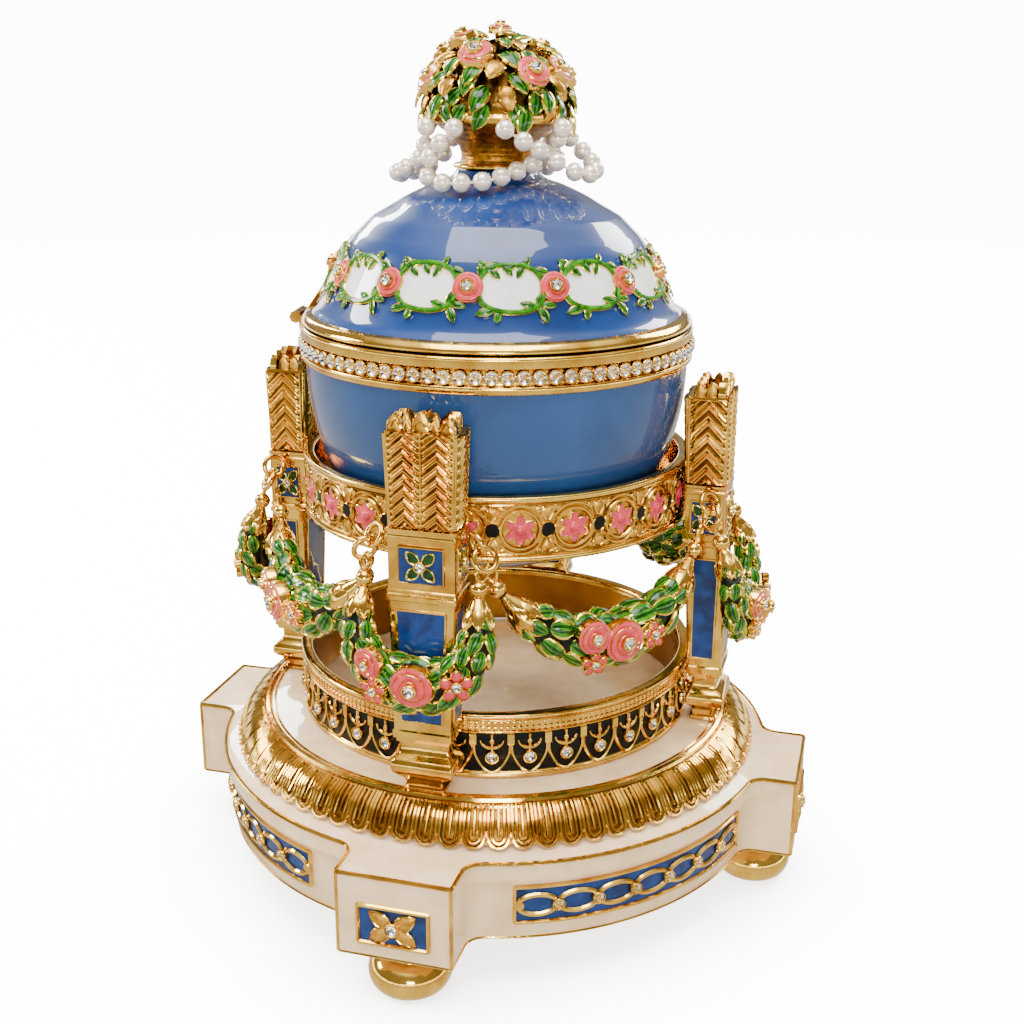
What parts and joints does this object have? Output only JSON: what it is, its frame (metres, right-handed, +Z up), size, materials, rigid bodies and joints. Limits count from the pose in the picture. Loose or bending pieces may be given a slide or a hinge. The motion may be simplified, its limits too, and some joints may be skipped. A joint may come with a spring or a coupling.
{
  "type": "jewelled egg",
  "caption": "Enamelled, gold-plated egg box with a hinged lid, topped by a flower basket with pearl strings, on a four-post stand hung with garlands over a round footed plinth.",
  "frame": {"origin": "on the surface the egg stands on, below the centre of the round plinth", "axes": "+Z up, -Y towards the front post, +X towards the right post; the four posts, blocks and feet lie on the X and Y axes"},
  "size_m": [0.1384, 0.1384, 0.1799],
  "materials": {
    "cream_enamel": "glossy cream enamel on cast metal, gold lines on its edges",
    "gold": "polished gold plating on cast metal",
    "post_enamel": "gold-plated casting with glossy blue enamel panels",
    "leaf_enamel": "gold-plated casting with green enamel leaves and pink enamel roses",
    "egg_enamel": "glossy mid-blue enamel on thin metal, gold band",
    "basket_gold": "dark gold-plated basket weave",
    "pearl": "soft pearl lustre"
  },
  "bodies": {
    "stand": {"plinth": "cream_enamel", "foot_right": "gold", "foot_back": "gold", "foot_left": "gold", "foot_front": "gold", "gallery": "gold", "cradle_ring": "gold", "post_right": "post_enamel", "post_back": "post_enamel", "post_left": "post_enamel", "post_front": "post_enamel", "ring_right_a_upper": "gold", "ring_right_a_lower": "gold", "ring_right_b_upper": "gold", "ring_right_b_lower": "gold", "ring_back_a_upper": "gold", "ring_back_a_lower": "gold", "ring_back_b_upper": "gold", "ring_back_b_lower": "gold", "ring_left_a_upper": "gold", "ring_left_a_lower": "gold", "ring_left_b_upper": "gold", "ring_left_b_lower": "gold", "ring_front_a_upper": "gold", "ring_front_a_lower": "gold", "ring_front_b_upper": "gold", "ring_front_b_lower": "gold", "wreath_right": "leaf_enamel", "wreath_back": "leaf_enamel", "wreath_left": "leaf_enamel", "wreath_front": "leaf_enamel", "swag_right_to_back": "leaf_enamel", "swag_back_to_left": "leaf_enamel", "swag_left_to_front": "leaf_enamel", "swag_front_to_right": "leaf_enamel", "egg_bowl": "egg_enamel", "hinge_bowl_half": "gold"},
    "lid": {"egg_lid": "egg_enamel", "hinge_lid_half": "gold", "flower_basket": "basket_gold", "bouquet": "leaf_enamel", "pearls_front": "pearl", "pearls_right": "pearl", "pearls_left": "pearl", "pearls_back": "pearl"}
  },
  "joints": [
    {"name": "lid_hinge", "type": "hinge", "parent": "stand", "child": "lid", "pos_m": [-0.04166, -0.00734, 0.1215], "axis": [0.1736, -0.9848, 0], "range_deg": [0, 95]}
  ]
}
